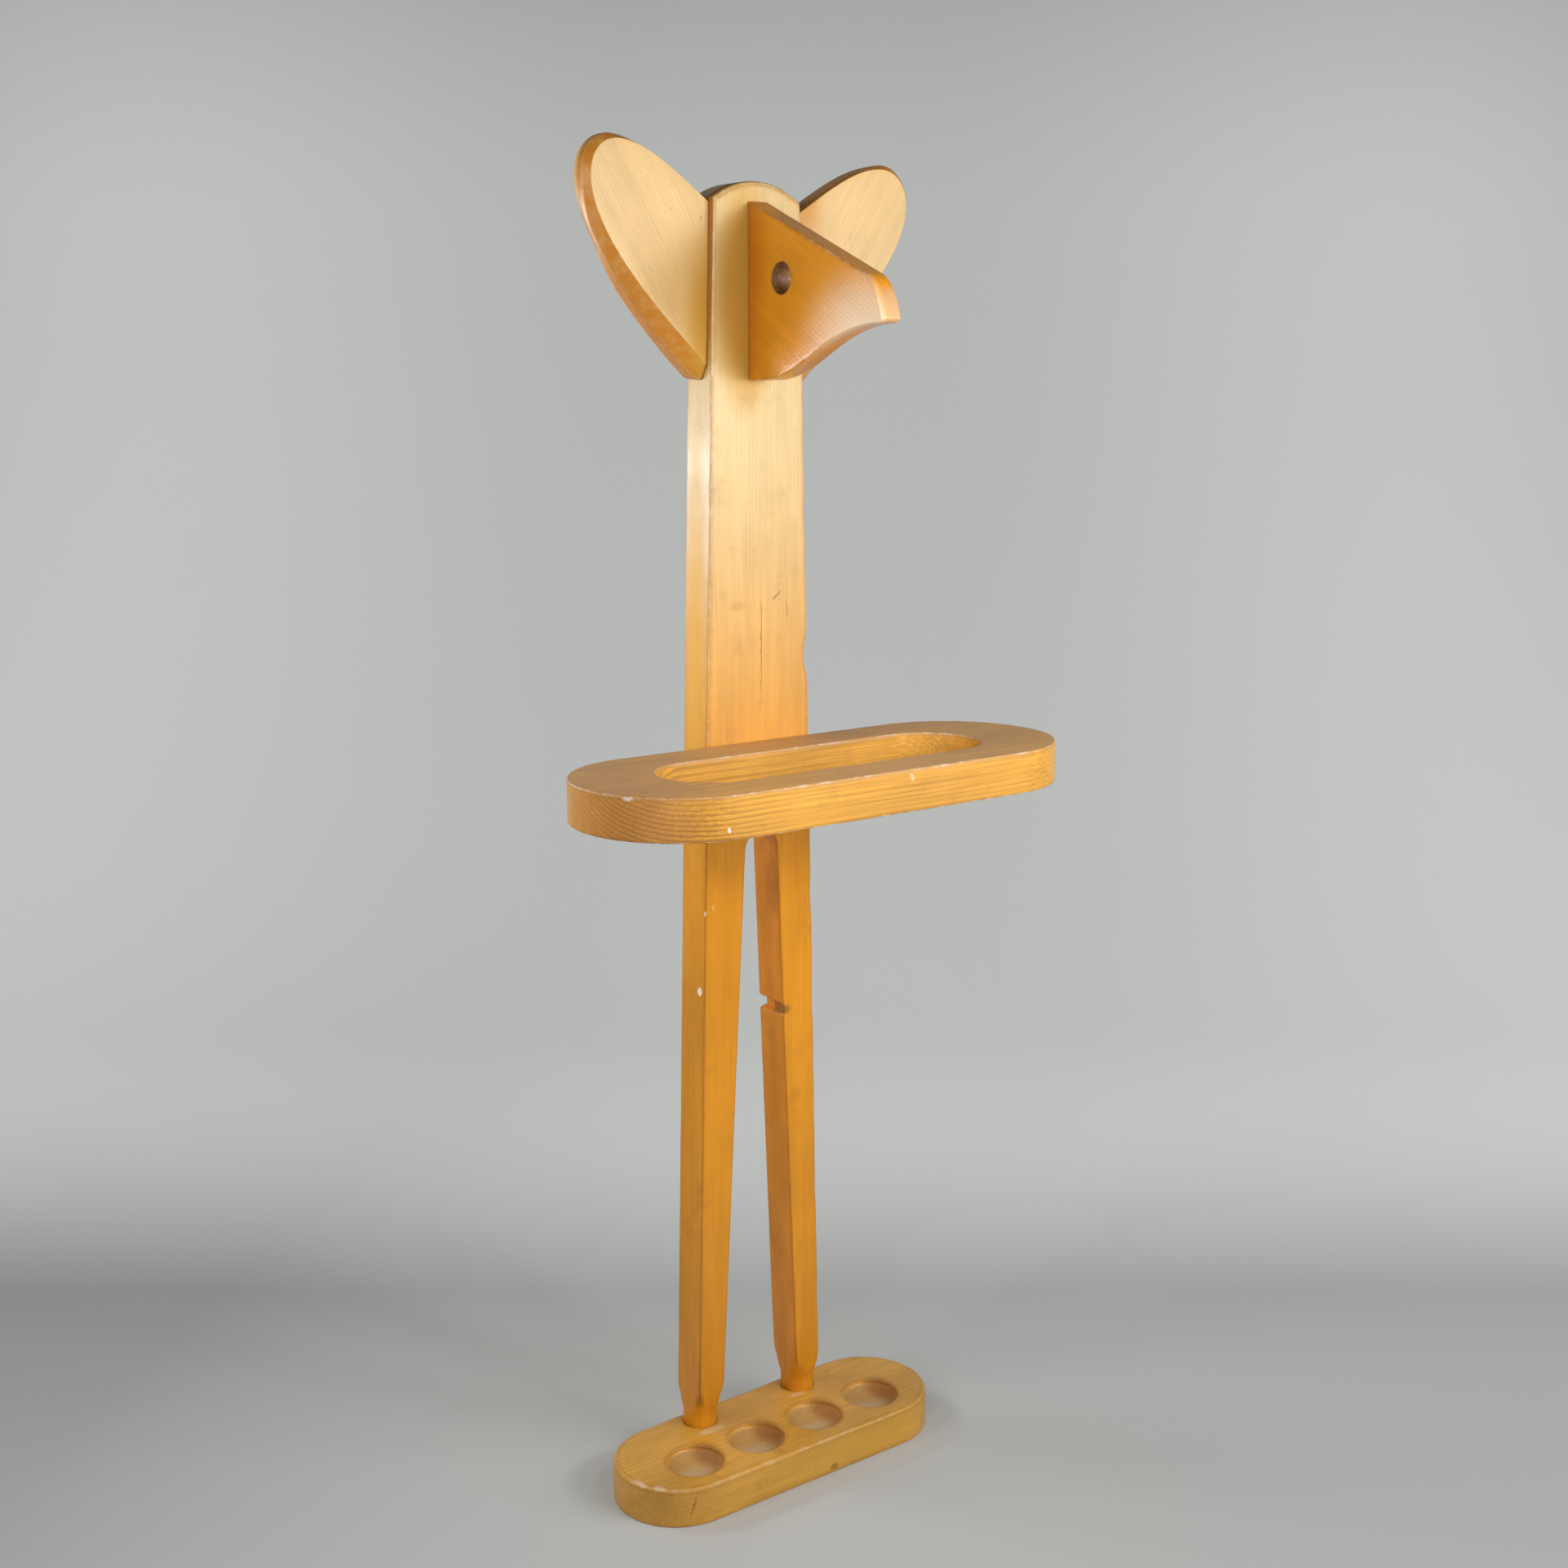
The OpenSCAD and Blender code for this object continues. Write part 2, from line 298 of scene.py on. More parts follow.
ARC_STEPS = 5
RIM_WEAR = 0.25
CREST_WEAR = 0.75
WEAR_REACH = 1.5
OUTLINE_STEP = 2.5
CAP_STEP = 4.5


def rounded_wall(near, far, near_r, far_r, step=3.0):
    """Steps of a wall between two flat faces with rounded edges: inset, depth and wear.

    near and far are the depths of the faces; the radii may differ from point to point."""
    near_r, far_r = np.asarray(near_r, float), np.asarray(far_r, float)
    way = 1 if far > near else -1
    steps = []
    for i in range(ARC_STEPS + 1):
        turn = math.pi / 2 * i / ARC_STEPS
        steps.append((near_r * (1 - math.sin(turn)), near + way * near_r * (1 - math.cos(turn)),
                      RIM_WEAR + CREST_WEAR * math.sin(2 * turn)))
    count = max(1, round(abs(far - near) / step))
    start, stop = near + way * near_r, far - way * far_r
    for i in range(1, count):
        edge_near = math.exp(-(i * step) / WEAR_REACH)
        edge_far = math.exp(-((count - i) * step) / WEAR_REACH)
        depth = start + (stop - start) * i / count
        steps.append((np.zeros_like(near_r), depth, RIM_WEAR * (edge_near + edge_far)))
    for i in range(ARC_STEPS + 1):
        turn = math.pi / 2 * (1 - i / ARC_STEPS)
        steps.append((far_r * (1 - math.sin(turn)), far - way * far_r * (1 - math.cos(turn)),
                      RIM_WEAR + CREST_WEAR * math.sin(2 * turn)))
    return steps


def wall_rings(shape, outline, offsets, steps, lift):
    """Adds one ring for each step of a wall and returns their numbers."""
    rings = []
    for inset, depth, wear in steps:
        inset = np.broadcast_to(inset, len(outline))
        depth = np.broadcast_to(depth, len(outline))
        rings.append(shape.ring(lift(outline + offsets * inset[:, None], depth), wear))
    return rings


def upright(points, depth):
    """Plane points of an upright board, x and z, at a depth y."""
    return np.stack([points[:, 0], np.broadcast_to(depth, len(points)), points[:, 1]], 1)


def level(points, depth):
    """Plane points of a level board, x and y, at a height z."""
    return np.stack([points[:, 0], points[:, 1], np.broadcast_to(depth, len(points))], 1)


def sideways(points, depth):
    """Plane points of the beak, -y and z, at a depth x."""
    return np.stack([np.broadcast_to(depth, len(points)), -points[:, 0], points[:, 1]], 1)


def finish_piece(piece, material, node):
    """Material, slot and body of a piece that stands for a CAD node."""
    piece.data.materials.append(material)
    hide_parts(node)
    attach(piece, "root")
    return piece


# ---------------------------------------------------------------- upright board

LEG_CUT_Z = CONE_TOP + 4
BOARD_STEP = 3.0
NOTCH_Z = 288.5
NOTCH_HALF = 4.2
NOTCH_DEEP = 5.5
NOTCH_SHALLOW = 0.9
NOTCH_TURN = (9, 15)
NOTCH_SLOPE = 1.2
SCOOP_Z = 509
SCOOP_HALF = 15
SCOOP_DEPTH = 1.9
WAVE_SIZE = 0.9
WAVE_LENGTH = 26
WAVE_END = (720, 690)
BOARD_EDGE_R = 1.2
HEAD_EDGE_MORE = 1.5
LEG_WEAR = 0.45
LEG_WEAR_END = (380, 460)


def scooped(outline):
    """Outer outline with the worn hollow and the slight waves of its right edge."""
    hollow = SCOOP_DEPTH * (1 - smooth(np.abs(outline[:, 1] - SCOOP_Z), 3, SCOOP_HALF))
    waves = np.maximum(0, 0.1 + wobble(outline, WAVE_SIZE, WAVE_LENGTH, seed=61.0))
    waves = waves * smooth(outline[:, 1], *WAVE_END)
    result = outline.copy()
    result[:, 0] -= np.where(outline[:, 0] > 0, hollow + waves * (outline[:, 1] > LEG_CUT_Z + 20), 0)
    return result


def cut_notch(shape, rings):
    """Nick across the inner face of the right leg, deepest at the back."""
    for ring in rings:
        for number in ring:
            x, y, z = shape.points[number]
            if x < GAP_SHIFT:
                continue
            depth = NOTCH_SHALLOW + (NOTCH_DEEP - NOTCH_SHALLOW) * float(smooth(y, *NOTCH_TURN))
            away = float(smooth(abs(z - NOTCH_Z), NOTCH_HALF - NOTCH_SLOPE, NOTCH_HALF))
            shape.points[number][0] += depth * (1 - away)


def board_outer():
    """Outer outline from the foot of the right leg over the head to the foot of the left leg."""
    foot, shoulder = (half_width(LEG_CUT_Z), LEG_CUT_Z), (HEAD_W / 2, SHOULDER_Z)
    turn = math.degrees(math.asin(HEAD_W / 2 / HEAD_R))
    head = arc((0, STAND_H - HEAD_R), HEAD_R, 90 - turn, 90 + turn, 1.5)
    left = line((-shoulder[0], shoulder[1]), (-foot[0], foot[1]), BOARD_STEP)
    return np.concatenate([line(foot, shoulder, BOARD_STEP), head, left, [(-foot[0], foot[1])]])


def board_inner():
    """Outline of the gap from the foot of the left leg over its round top to the right leg."""
    low = [(gap_edge(LEG_CUT_Z, side), LEG_CUT_Z) for side in (-1, 1)]
    high = [(gap_edge(GAP_ARC_Z, side), GAP_ARC_Z) for side in (-1, 1)]
    top = arc((GAP_SHIFT, GAP_ARC_Z), GAP_TOP_W / 2, 180, 0, 1.5)
    nick_high, nick_low = ((gap_edge(z, 1), z) for z in (NOTCH_Z + 8, NOTCH_Z - 8))
    return np.concatenate([line(low[0], high[0], BOARD_STEP), top,
                           line(high[1], nick_high, BOARD_STEP), line(nick_high, nick_low, 0.7),
                           line(nick_low, low[1], BOARD_STEP), [low[1]]])


def level_ends(offsets):
    """Keeps the ends of an open outline at their height when it is inset."""
    for end in (0, -1):
        offsets[end] = (math.copysign(1, offsets[end][0]), 0)
    return offsets


BLEND = 3
TENON_RINGS = 8


def leg_end(shape, loop, side):
    """Lower end of a leg: the square leg runs down into a cone and a round tenon."""
    start = np.array([shape.points[i] for i in loop])
    outer, inner = side * half_width(LEG_CUT_Z), gap_edge(LEG_CUT_Z, side)
    share = (start[:, 0] - inner) / (outer - inner)
    wear = np.array([shape.wear[i] for i in loop])
    heights = list(np.arange(LEG_CUT_Z - 1, TENON_TOP - 1, -1.0))
    heights += list(np.linspace(TENON_TOP - 2, board_low[2], TENON_RINGS))
    previous = loop
    for z in heights:
        radius = TENON_D / 2 + (CONE_R - TENON_D / 2) * max(0, (z - TENON_TOP) / CONE_H)
        inner, outer = gap_edge(z, side), side * half_width(z)
        x = inner + (outer - inner) * share - side * LEG_X
        y = start[:, 1] - BOARD_T / 2
        distance = np.hypot(x, y)
        held = -np.log(np.exp(-BLEND * distance) + np.exp(-BLEND * radius)) / BLEND
        scale = held / distance
        ring = shape.ring(np.stack([side * LEG_X + x * scale, BOARD_T / 2 + y * scale,
                                    np.full(len(x), z)], 1), wear * smooth(z, TENON_TOP, CONE_TOP))
        shape.bridge(previous, ring)
        previous = ring
    shape.fan(previous, (side * LEG_X, BOARD_T / 2, board_low[2]))


def make_board():
    """Upright board: its two outlines, the faces between them and the two leg ends."""
    shape = Shape()
    outer, inner = scooped(board_outer()), board_inner()
    rings = []
    for outline in (outer, inner):
        offsets = level_ends(inward(outline, closed=False))
        edge = BOARD_EDGE_R + HEAD_EDGE_MORE * smooth(outline[:, 1], SHOULDER_Z - 4, SHOULDER_Z + 3)
        edge = edge + wobble(outline, 0.35, 22, seed=3.0)
        rings.append(wall_rings(shape, outline, offsets,
                                rounded_wall(0, BOARD_T, edge, edge), upright))
        for ring in rings[-1]:
            for number in ring:
                high = float(smooth(shape.points[number][2], *LEG_WEAR_END))
                shape.wear[number] *= LEG_WEAR + (1 - LEG_WEAR) * high
        shape.skin(rings[-1], closed=False)
    outer_rings, inner_rings = rings
    cut_notch(shape, inner_rings)
    bottoms = {}
    for face in (0, -1):
        for side, outer_end, inner_end in ((-1, -1, 0), (1, 0, -1)):
            a = shape.points[outer_rings[face][outer_end]]
            b = shape.points[inner_rings[face][inner_end]]
            between = line(a, b, 1.2)[1:]
            bottoms[face, side] = shape.ring(between, 0)
    for side, outer_end, inner_end in ((-1, -1, 0), (1, 0, -1)):
        loop = [ring[outer_end] for ring in outer_rings] + list(bottoms[-1, side])
        loop += [ring[inner_end] for ring in reversed(inner_rings)] + list(bottoms[0, side][::-1])
        leg_end(shape, np.array(loop), side)
    for face, depth in ((0, 0), (-1, BOARD_T)):
        loop = np.concatenate([outer_rings[face], bottoms[face, -1], inner_rings[face],
                               bottoms[face, 1][::-1]])
        shape.cap([loop], lambda p: p[:, [0, 2]], lambda p: upright(p, depth), CAP_STEP)
    return shape.build("bird_board")


# ---------------------------------------------------------------- base plate

CUP_STEPS = 18
HOLE_STEP = 1.6
CUP_PLACES = [(i * CUP_PITCH, -CUP_ROW) for i in (-1.5, -0.5, 0.5, 1.5)]


def cup(shape, rim):
    """Dished cup below its rim: a short wall, then a bowl-shaped floor."""
    centre = np.array([shape.points[i] for i in rim]).mean(0)
    bowl = CUP_DEPTH - CUP_WALL
    radius = CUP_D / 2
    sphere = (radius**2 + bowl**2) / (2 * bowl)
    previous = rim
    profile = [(radius, z) for z in (-1.0, -1.7, -2.3)]
    for i in range(1, CUP_STEPS):
        r = (radius - 0.6) * (1 - i / CUP_STEPS)
        profile.append((r, -CUP_DEPTH + sphere - math.sqrt(sphere**2 - r**2)))
    for r, z in profile:
        angles = 2 * math.pi * np.arange(len(rim)) / len(rim)
        ring = np.stack([centre[0] + r * np.cos(angles), centre[1] + r * np.sin(angles),
                         np.full(len(rim), BASE_T + z)], 1)
        numbers = shape.ring(ring, 0)
        shape.bridge(previous, numbers)
        previous = numbers
    shape.fan(previous, (centre[0], centre[1], BASE_T - CUP_DEPTH))


def hole_rim(shape, centre, radius, edge, depth):
    """Rounded rim of a round hole in the top of the base; returns its upper and lower ring."""
    outline = arc(centre, radius, 360, 0, HOLE_STEP)[::-1]
    outward = (outline - np.array(centre)) / radius
    upper = previous = None
    for i in range(ARC_STEPS + 1):
        turn = math.pi / 2 * i / ARC_STEPS
        points = outline + outward * edge * (1 - math.sin(turn))
        numbers = shape.ring(level(points, BASE_T - edge * (1 - math.cos(turn))), 0.3)
        if previous is None:
            upper = numbers
        else:
            shape.bridge(previous, numbers)
        previous = numbers
    lower = shape.ring(level(outline, BASE_T - depth), 0)
    shape.bridge(previous, lower)
    return upper, lower


def make_base():
    """Base plate with its four cups and the sockets of the two tenons."""
    shape = Shape()
    length, width = (base_high - base_low)[:2]
    centre = ((base_low + base_high) / 2)[:2]
    outline = stadium(length, width, centre, OUTLINE_STEP)
    beside_tenon = smooth(np.hypot(np.abs(outline[:, 0]) - LEG_X, outline[:, 1] - BOARD_T), 12, 26)
    edge = 1.0 + (1.6 + wobble(outline, 0.6, 30, seed=11.0)) * beside_tenon
    steps = rounded_wall(BASE_T, 0, edge, 0.9)
    rings = wall_rings(shape, outline, inward(outline), steps, level)
    shape.skin(rings)
    top_loops = [rings[0]]
    for cup_place in CUP_PLACES:
        upper, lower = hole_rim(shape, cup_place, CUP_D / 2, 0.6, 0.7)
        cup(shape, lower)
        top_loops.append(upper)
    for side in (-1, 1):
        middle = (side * LEG_X, BOARD_T / 2)
        upper, lower = hole_rim(shape, middle, TENON_D / 2 + GLUE_GAP, 0.3, SOCKET_DEPTH)
        shape.fan(lower, (*middle, BASE_T - SOCKET_DEPTH))
        top_loops.append(upper)
    shape.cap(top_loops, lambda p: p[:, :2], lambda p: level(p, BASE_T), CAP_STEP)
    shape.cap([rings[-1]], lambda p: p[:, :2], lambda p: level(p, 0), 7)
    return shape.build("oval_base")


# ---------------------------------------------------------------- umbrella ring


def make_ring():
    """Level plate with the long slot that umbrellas stand in."""
    shape = Shape()
    length, width = (ring_high - ring_low)[:2]
    centre = ((ring_low + ring_high) / 2)[:2]
    bottom, top = ring_low[2], ring_high[2]
    outer = stadium(length, width, centre, OUTLINE_STEP)
    slot = stadium(SLOT_L, SLOT_W, (0, -SLOT_ROW), OUTLINE_STEP)[::-1]
    rings = []
    for outline in (outer, slot):
        edge = 1.3 + wobble(outline, 0.5, 25, seed=21.0)
        steps = rounded_wall(top, bottom, edge, 1.1)
        rings.append(wall_rings(shape, outline, inward(outline), steps, level))
        shape.skin(rings[-1])
    for face, height in ((0, top), (-1, bottom)):
        shape.cap([rings[0][face], rings[1][face]], lambda p: p[:, :2], lambda p: level(p, height),
                  CAP_STEP)
    return shape.build("umbrella_holder")


# ---------------------------------------------------------------- wings


def wing_outline(points):
    """Outline of the right-hand wing in u, out from the board's side, and v, up from its foot."""
    root_top, crown, waist, heel, foot = (np.array(p, float) for p in points)
    return np.concatenate([
        curve(root_top, root_top + [22, 14], crown + [-19, -0.4], crown, 24),
        curve(crown, crown + [11, 0.3], waist + [0.3, 12], waist, 14),
        curve(waist, waist + [0, -28], heel + [38, 32], heel, 40),
        curve(heel, heel + [-1.6, -1.4], foot + [2.2, 0.1], foot, 5),
        curve(foot, foot + [0, 30], root_top - [0, 30], root_top, 24)])


WING_FACE = ((0.2, 98.4), (62, 128), (80.5, 108), (5, 12.6), (0.2, 8.6))
WING_BODY = ((0, 99.6), (65.2, 130.8), (83.4, 108.7), (6, 2.7), (0, 0.1))
# share of the way from the face's edge to the body's edge, and depth behind the front
WING_BEVEL = ((-0.12, 0.0, 0.08), (-0.03, 0.08, 0.2), (0.06, 0.35, 0.42), (0.3, 1.4, 0.45),
              (0.6, 2.7, 0.45), (0.9, 3.9, 0.5), (1.0, 4.8, 0.7))
WING_BEVEL_END = 4.8
WING_BACK_START = 8.0
WING_TURN_V = 65.5
WING_WALL_WEAR = 0.36
WING_BACK_STEPS = 7


def make_wing_piece(name, side, drop):
    """Wing on one side of the head, lower than the left one by drop, swept back round its root."""
    shape = Shape()
    face, body = wing_outline(WING_FACE), wing_outline(WING_BODY)
    z0 = wing_low[2] - drop
    u, v = body[:, 0], body[:, 1]
    outer = smooth(u, 52, 78)
    below = smooth(v, 104, 82) * smooth(u, 1, 6)
    chips = np.maximum(0, wobble(body, 1.6, 4, seed=71.0 + side) - 0.5) * below
    back_inset = body + inward(body[::-1])[::-1] * (0.8 + 5.2 * outer)[:, None]
    body = body + inward(body[::-1])[::-1] * chips[:, None]
    rings = []
    pivot = half_width(z0 + WING_TURN_V)

    def place(points, depth):
        u, v = points[:, 0], points[:, 1]
        x = half_width(z0 + v) + u
        angle = math.radians(WING_SWEEP)
        away = x - pivot
        y = WING_RECESS + depth * math.cos(angle) - away * math.sin(angle)
        x = pivot + away * math.cos(angle) + depth * math.sin(angle)
        limit = half_width(z0 + v) + GLUE_GAP
        x = np.maximum(x, limit)
        return np.stack([side * x, y, z0 + v], 1)

    deeper = 1 + 0.75 * below
    back_wear = WING_WALL_WEAR - 0.34 * outer * (1 - below)
    for share, depth, wear in WING_BEVEL:
        rings.append(shape.ring(place(face + (body - face) * share, depth * deeper), wear))
    start = WING_BEVEL_END * deeper
    for i in range(1, 4):
        depth = start + (WING_BACK_START - start) * i / 3
        rings.append(shape.ring(place(body, depth), WING_WALL_WEAR))
    for i in range(1, WING_BACK_STEPS + 1):
        turn = math.pi / 2 * i / WING_BACK_STEPS
        share = 1 - math.cos(turn)
        depth = WING_BACK_START + (WING_T - WING_BACK_START) * math.sin(turn)
        wear = WING_WALL_WEAR + (back_wear - WING_WALL_WEAR) * min(1, i / 2)
        rings.append(shape.ring(place(body + (back_inset - body) * share, depth), wear))
    shape.skin(rings)
    for ring, depth in ((rings[0], 0), (rings[-1], WING_T)):
        edge = np.array([shape.points[i] for i in ring])
        fit = np.polyfit(edge[:, 0], edge[:, 1], 1)
        shape.cap([ring], lambda p: p[:, [0, 2]],
                  lambda p: np.stack([p[:, 0], fit[0] * p[:, 0] + fit[1], p[:, 1]], 1), CAP_STEP)
    return shape.build(name)


# ---------------------------------------------------------------- beak


def make_beak():
    """Beak with its drilled eye, sawn from a board that stands along y."""
    shape = Shape()
    length = beak_high[1] - beak_low[1]
    height = beak_high[2] - beak_low[2]
    half = (beak_high[0] - beak_low[0]) / 2
    nose = np.array([0.87 * length, 0.56 * height])
    tip = np.array([length, 0.297 * height])
    start = np.array([0, beak_low[2]])
    outline = np.concatenate([
        curve((0, 0), (3, 0), (7, 0), (10, 0), 4),
        curve((10, 0), (0.437 * length, 0), (0.57 * length, 0.3 * height), tip, 40),
        curve(tip + [0, 1.5], tip + [-1.5, 10], nose + [8, -3.5], nose, 18),
        line(nose, (0, height), 2.5),
        line((0, height), (0, 0), 4)]) + start + [-beak_high[1], 0]
    edge = 0.9 + wobble(outline, 0.25, 14, seed=41.0)
    steps = rounded_wall(-half, half, edge, edge, 2.5)
    rings = wall_rings(shape, outline, inward(outline), steps, sideways)
    shape.skin(rings)
    centre = (EYE_OUT, beak_low[2] + EYE_UP)
    eye = arc(centre, EYE_D / 2, 360, 0, 1.5)
    eye_steps = rounded_wall(-half, half, 0.5, 0.5, 1.5)
    eye_rings = wall_rings(shape, eye, inward(eye), eye_steps, sideways)
    shape.skin(eye_rings)
    for face, depth in ((0, -half), (-1, half)):
        shape.cap([rings[face], eye_rings[face]], lambda p: np.stack([-p[:, 1], p[:, 2]], 1),
                  lambda p: sideways(p, depth), 3.5)
    return shape.build("bird_beak")


# ---------------------------------------------------------------- materials


class Graph:
    """Short ways to write a material's nodes."""

    def __init__(self, name):
        self.material = bpy.data.materials.new(name)
        self.material.use_nodes = True
        self.tree = self.material.node_tree
        self.tree.nodes.clear()

    def add(self, kind, inputs=None, **settings):
        """Node with its inputs linked to sockets or set to values."""
        node = self.tree.nodes.new(kind)
        for key, value in settings.items():
            setattr(node, key, value)
        for key, value in (inputs or {}).items():
            if isinstance(value, bpy.types.NodeSocket):
                self.tree.links.new(value, node.inputs[key])
            elif value is not None:
                node.inputs[key].default_value = value
        return node

    def math(self, operation, a, b=None):
        """Result of a sum on numbers or sockets."""
        return self.add("ShaderNodeMath", {0: a, 1: b}, operation=operation).outputs[0]

    def times(self, *values):
        """Product of sockets and numbers."""
        result = values[0]
        for value in values[1:]:
            result = self.math("MULTIPLY", result, value)
        return result

    def vector(self, operation, a, b=None):
        """Result of a sum on vectors: a number for LENGTH, or else a vector."""
        node = self.add("ShaderNodeVectorMath", {0: a, 1: b}, operation=operation)
        return node.outputs["Value" if operation == "LENGTH" else "Vector"]

    def remap(self, value, low, high, to_low=0.0, to_high=1.0):
        """Even turn from to_low at low to to_high at high; low may be above high."""
        node = self.add("ShaderNodeMapRange", {"Value": value, "From Min": low, "From Max": high,
                                               "To Min": to_low, "To Max": to_high},
                        interpolation_type="SMOOTHSTEP")
        return node.outputs[0]

    def noise(self, vector, scale, detail=2.0, roughness=0.5):
        """Smooth noise from 0 to 1, with scale in waves per metre."""
        node = self.add("ShaderNodeTexNoise", {"Vector": vector, "Scale": scale, "Detail": detail,
                                               "Roughness": roughness})
        return node.outputs["Fac"]

    def mix(self, factor, a, b, mode="MIX"):
        """Colour a with a share of b mixed or multiplied into it."""
        node = self.add("ShaderNodeMix", data_type="RGBA", blend_type=mode)
        for key, value in ((0, factor), (6, a), (7, b)):
            if isinstance(value, bpy.types.NodeSocket):
                self.tree.links.new(value, node.inputs[key])
            else:
                node.inputs[key].default_value = value
        return node.outputs[2]

    def grey(self, value):
        """Colour with the same value in all three parts."""
        return self.add("ShaderNodeCombineColor", {0: value, 1: value, 2: value}).outputs[0]

    def surface(self, **inputs):
        """Ends the material with one shader; underscores in the names stand for spaces."""
        named = {key.replace("_", " "): value for key, value in inputs.items()}
        shader = self.add("ShaderNodeBsdfPrincipled", named)
        self.add("ShaderNodeOutputMaterial", {"Surface": shader.outputs[0]})
        return self.material

    def place(self, vector, location=(0, 0, 0), rotation=(0, 0, 0), scale=(1, 1, 1)):
        """Vector scaled, then turned, then moved."""
        node = self.add("ShaderNodeMapping", {"Vector": vector, "Location": location,
                                              "Rotation": rotation, "Scale": scale})
        return node.outputs[0]

    def spot(self, ragged, centre, size, turn, soft):
        """1 inside an ellipsoid and 0 outside it: centre and half sizes in mm, turned about y."""
        moved = self.vector("SUBTRACT", ragged, tuple(value * MM for value in centre))
        turned = self.place(moved, rotation=(0, math.radians(turn), 0))
        scaled = self.vector("DIVIDE", turned, tuple(value * MM for value in size))
        return self.remap(self.vector("LENGTH", scaled), 1.0 + soft / 2, 1.0 - soft)


# colours of the wood under its varnish, and colours that paint sheen and shade into it
# painted sheen: the next two colours are paler than the wood, for the soft sheen on the head and on the
# wings' faces
SHEEN_HONEY = (0.62, 0.425, 0.155, 1)
SHEEN_PALE_HONEY = (0.65, 0.42, 0.155, 1)
HONEY_DARK = (0.48, 0.22, 0.02, 1)
AMBER = (0.80, 0.31, 0.010, 1)
# painted shade: deeper gold where the beak and the board keep the sheen off the head
SHADE_GOLD = (0.54, 0.27, 0.018, 1)
# painted light: brighter gold on the board's left side
LIT_SIDE_GOLD = (0.88, 0.43, 0.02, 1)
# deeper varnish and painted shade on the wings' edge walls and bevels
WING_WALL_VARNISH_AND_SHADE = (0.52, 0.18, 0.008, 1)
BASE_EARLY = (0.74, 0.38, 0.055, 1)
BASE_LATE = (0.50, 0.22, 0.02, 1)
# painted light on the front of the base
BASE_FRONT_LIGHT = (0.80, 0.42, 0.05, 1)
RING_EARLY = (0.72, 0.35, 0.05, 1)
RING_LATE = (0.30, 0.10, 0.015, 1)
RING_END = (0.42, 0.14, 0.03, 1)
BEAK_EARLY = (0.70, 0.27, 0.010, 1)
BEAK_LATE = (0.50, 0.18, 0.006, 1)
# painted shade on the beak's root
BEAK_ROOT_SHADE = (0.50, 0.13, 0.006, 1)
# painted sheen on the beak's tip
BEAK_TIP_SHEEN = (0.88, 0.74, 0.54, 1)
# painted sheen and shade on the beak's nose
NOSE_SHEEN_AND_SHADE = (0.55, 0.34, 0.17, 1)
# painted shade at the root of the right wing
WING_ROOT_SHADE = (0.52, 0.21, 0.02, 1)
# painted shade on the edge bands of the head
HEAD_EDGE_SHADE = (0.45, 0.16, 0.02, 1)
# deeper varnish and painted shade beside the board's rounded edges
FLANK_VARNISH_AND_SHADE = (0.40, 0.13, 0.015, 1)

# colours of dirt, wear and glue, some of them also used for painted shade, highlight and reflection
DARK = (0.16, 0.055, 0.012, 1)
BROWN = (0.33, 0.12, 0.02, 1)
STAIN = (0.20, 0.085, 0.025, 1)
# bare wood on worn edges and chips, and a painted highlight on the base's left end
BARE_AND_HIGHLIGHT = (0.86, 0.70, 0.50, 1)
CHIP = (0.92, 0.87, 0.78, 1)
GLUE = (0.74, 0.55, 0.26, 1)
# paler patches on the cups' floors
CUP_FLOOR_PALE = (0.62, 0.46, 0.27, 1)
CUP_FLOOR = (0.40, 0.25, 0.11, 1)
# painted reflection of the grey backdrop on the ring's top face
RING_TOP_REFLECTION = (0.44, 0.285, 0.17, 1)

# heights in metres over which the board's painted sheen fades into its own amber below
SHEEN_FADE = (0.66, 0.36)
FADED_FIGURE = 0.28
RING_WAVE = 0.012
RING_JITTER = 0.0012
RAGGED = 0.0022


def growth_rings(g, turned, pith, spacing):
    """Bands of late wood round the tree's middle: 1 in a band and 0 between two."""
    slow = g.noise(g.place(turned, scale=(1, 1, 0.1)), 12)
    fine = g.noise(g.place(turned, scale=(1, 1, 0.02)), 300)
    flat = g.vector("MULTIPLY", g.place(turned, location=pith), (1, 1, 0.02))
    bent = g.math("ADD", g.vector("LENGTH", flat), g.times(g.math("SUBTRACT", slow, 0.5), RING_WAVE))
    bent = g.math("ADD", bent, g.times(g.math("SUBTRACT", fine, 0.5), RING_JITTER))
    phase = g.math("FRACT", g.math("DIVIDE", bent, spacing * MM))
    return g.times(g.remap(phase, 0.3, 0.9), g.remap(phase, 1.0, 0.92))


def wood_tone(g, turned, fibre, fibre_depth, tone_range):
    """Grey to multiply with: fine fibres, broader streaks and blotches along the grain."""
    broad = g.noise(g.place(turned, scale=(1, 1, 0.06)), 110, 3.0, 0.6)
    blotch = g.noise(g.place(turned, scale=(1, 1, 0.45)), 20, 4.0, 0.6)
    return g.grey(g.times(g.remap(fibre, 0.28, 0.72, 1 - fibre_depth, 1 + fibre_depth),
                          g.remap(broad, 0.25, 0.75, 0.93, 1.06),
                          g.remap(blotch, 0.25, 0.75, *tone_range)))


